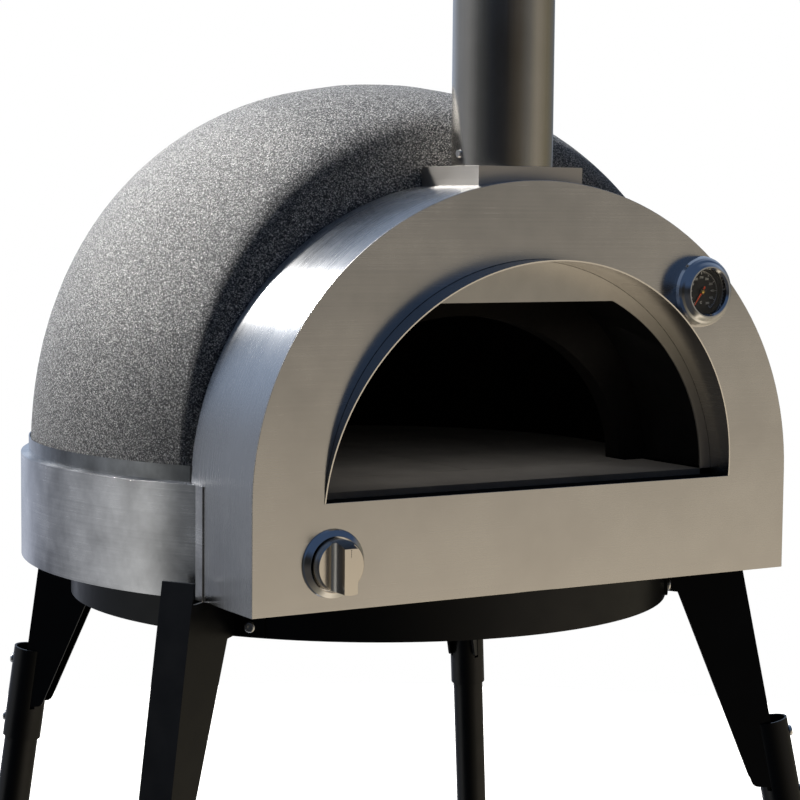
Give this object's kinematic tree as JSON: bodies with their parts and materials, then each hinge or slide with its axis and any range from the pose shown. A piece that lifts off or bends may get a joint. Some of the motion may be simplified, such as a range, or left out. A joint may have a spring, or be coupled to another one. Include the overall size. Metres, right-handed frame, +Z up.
{
  "type": "outdoor pizza oven",
  "caption": "Domed outdoor pizza oven with an arched steel hood, chimney pipe, thermometer and gas knob, on a splayed four-legged stand.",
  "frame": {"origin": "on the floor, under the middle of the whole oven's width and depth", "axes": "+X to the right as seen from the front, +Y from the mouth to the back of the dome, +Z up; the mouth faces -Y"},
  "size_m": [1.1235, 0.85, 1.9314],
  "materials": {
    "black_powder_coat": "satin powder coat",
    "foot_rubber": "matte",
    "brushed_stainless": "brushed",
    "hood_face_stainless": "brushed, warm grey",
    "polished_stainless": "polished",
    "flue_stainless": "brushed along the pipe",
    "fastener_stainless": "bright",
    "inner_face_steel": "satin",
    "sooted_steel": "heat darkened, matte",
    "hearth_stone": "matte fired stone",
    "refractory": "matte, sooted",
    "insulation": "fibrous matte",
    "dome_render": "coarse speckled render",
    "knob_metal": "brushed",
    "dial_black": null,
    "gauge_glass": "clear",
    "needle_red": "satin",
    "valve_brass": "machined",
    "gas_pipe": "drawn tube",
    "igniter_ceramic": "glazed"
  },
  "bodies": {
    "oven": {"stand_pan": "black_powder_coat", "base_plate": "black_powder_coat", "leg_bracket_front_left": "black_powder_coat", "leg_bracket_front_right": "black_powder_coat", "leg_bracket_back_left": "black_powder_coat", "leg_bracket_back_right": "black_powder_coat", "leg_sleeve_front_left": "black_powder_coat", "leg_sleeve_front_right": "black_powder_coat", "leg_sleeve_back_left": "black_powder_coat", "leg_sleeve_back_right": "black_powder_coat", "leg_tube_front_left": "black_powder_coat", "leg_tube_front_right": "black_powder_coat", "leg_tube_back_left": "black_powder_coat", "leg_tube_back_right": "black_powder_coat", "foot_cap_front_left": "foot_rubber", "foot_cap_front_right": "foot_rubber", "foot_cap_back_left": "foot_rubber", "foot_cap_back_right": "foot_rubber", "base_ring": "brushed_stainless", "hood_wrap": "brushed_stainless", "chimney_flange": "brushed_stainless", "rain_cap": "brushed_stainless", "cap_straps": "brushed_stainless", "hood_front_panel": "hood_face_stainless", "throat_band": "hood_face_stainless", "dome_trim_strip": "polished_stainless", "knob_bezel": "polished_stainless", "thermometer_bezel": "polished_stainless", "chimney_pipe": "flue_stainless", "flue_screws": "fastener_stainless", "cap_rivets": "fastener_stainless", "pan_bolts": "fastener_stainless", "sleeve_bolts": "fastener_stainless", "thermometer_nut": "fastener_stainless", "thermometer_stem": "fastener_stainless", "inner_face_plate": "inner_face_steel", "sill_trough": "sooted_steel", "smoke_duct": "sooted_steel", "flue_collar": "sooted_steel", "burner_guard": "sooted_steel", "burner_tube": "sooted_steel", "hearth_stone_left": "hearth_stone", "hearth_stone_right": "hearth_stone", "hearth_stone_front": "hearth_stone", "dome_core": "refractory", "floor_insulation": "insulation", "dome_insulation": "insulation", "dome_render": "dome_render", "thermometer_dial": "dial_black", "thermometer_glass": "gauge_glass", "gas_valve": "valve_brass", "gas_inlet_fitting": "valve_brass", "burner_feed_pipe": "gas_pipe", "gas_inlet_pipe": "gas_pipe", "igniter_electrode": "igniter_ceramic"},
    "push_stem": {"valve_thrust_collar": "valve_brass", "valve_spring": "fastener_stainless"},
    "gas_knob": {"control_knob": "knob_metal", "valve_spindle": "fastener_stainless"},
    "pointer": {"thermometer_needle": "needle_red"}
  },
  "joints": [
    {"name": "gas_knob_push", "type": "slide", "parent": "oven", "child": "push_stem", "axis": [0, 1, 0], "range_m": [0, 0.003], "stiffness_N_per_m": 1200, "springref_m": -0.002},
    {"name": "gas_knob_turn", "type": "hinge", "parent": "push_stem", "child": "gas_knob", "pos_m": [-0.26, -0.38645, 0.936], "axis": [0, -1, 0], "range_deg": [0, 210]},
    {"name": "thermometer_pointer", "type": "hinge", "parent": "oven", "child": "pointer", "pos_m": [0.215, -0.39745, 1.216], "axis": [0, 1, 0], "range_deg": [0, 290]}
  ]
}
